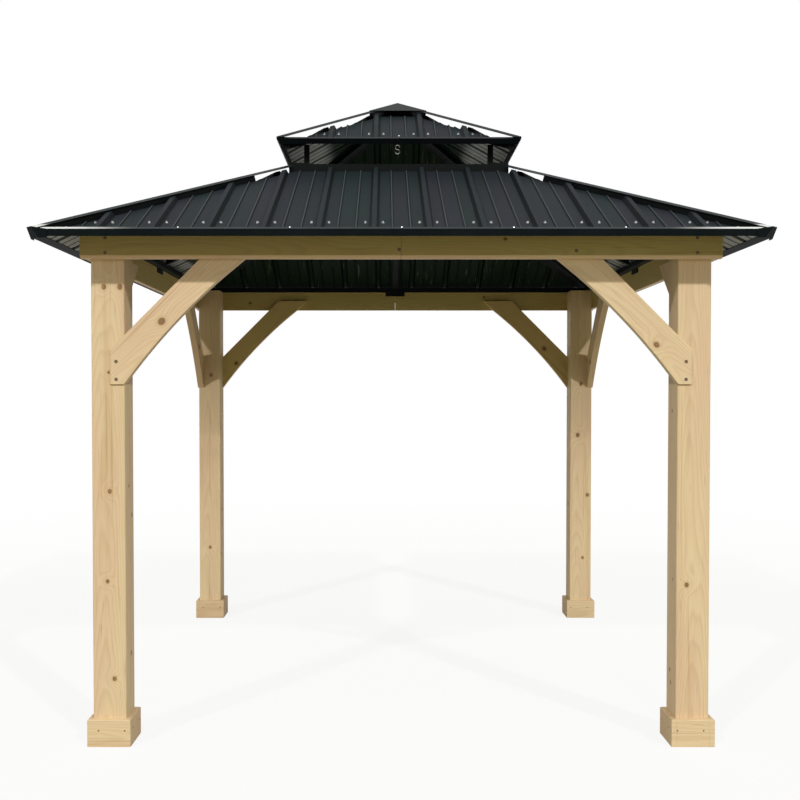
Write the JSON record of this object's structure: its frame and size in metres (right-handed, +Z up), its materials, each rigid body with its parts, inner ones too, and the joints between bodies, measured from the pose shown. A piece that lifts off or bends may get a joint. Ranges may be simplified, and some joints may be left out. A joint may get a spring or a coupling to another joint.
{
  "type": "garden gazebo",
  "caption": "Open square garden gazebo: timber posts with boxed feet, lapped beams and curved braces carry a two-tier ribbed steel roof with an open vent.",
  "frame": {"origin": "on the ground at the centre of the four posts", "axes": "+Z up, -Y out through the front, +X to the right seen from the front"},
  "size_m": [3.0238, 3.0238, 3.0857],
  "materials": {
    "cedar": "stained planed softwood, satin",
    "black_steel": "black powder coat, satin",
    "roof_sheet": "charcoal coated ribbed sheet, satin",
    "trim_steel": "near-black folded trim, satin",
    "zinc": "zinc plated steel"
  },
  "bodies": {
    "root": {"post_front_left": "cedar", "post_front_right": "cedar", "post_rear_right": "cedar", "post_rear_left": "cedar", "base_trim_front_left": "cedar", "base_trim_front_right": "cedar", "base_trim_rear_right": "cedar", "base_trim_rear_left": "cedar", "beam_front": "cedar", "beam_right": "cedar", "beam_rear": "cedar", "beam_left": "cedar", "brace_front_left": "cedar", "brace_front_right": "cedar", "brace_right_front": "cedar", "brace_right_rear": "cedar", "brace_rear_left": "cedar", "brace_rear_right": "cedar", "brace_left_front": "cedar", "brace_left_rear": "cedar", "wall_plate": "black_steel", "splice_brackets": "black_steel", "hip_rafters": "black_steel", "mid_rafters": "black_steel", "crown_ring": "black_steel", "vent_uprights": "black_steel", "upper_rafters": "black_steel", "apex_hub": "black_steel", "lamp_hook": "zinc", "roof_sheet_front": "roof_sheet", "roof_sheet_right": "roof_sheet", "roof_sheet_rear": "roof_sheet", "roof_sheet_left": "roof_sheet", "upper_sheet_front": "roof_sheet", "upper_sheet_right": "roof_sheet", "upper_sheet_rear": "roof_sheet", "upper_sheet_left": "roof_sheet", "eave_trim_front": "trim_steel", "eave_trim_right": "trim_steel", "eave_trim_rear": "trim_steel", "eave_trim_left": "trim_steel", "upper_eave_trim": "trim_steel", "corner_caps": "trim_steel", "hip_caps": "trim_steel", "upper_hip_caps": "trim_steel", "apex_cap": "trim_steel"}
  },
  "joints": []
}
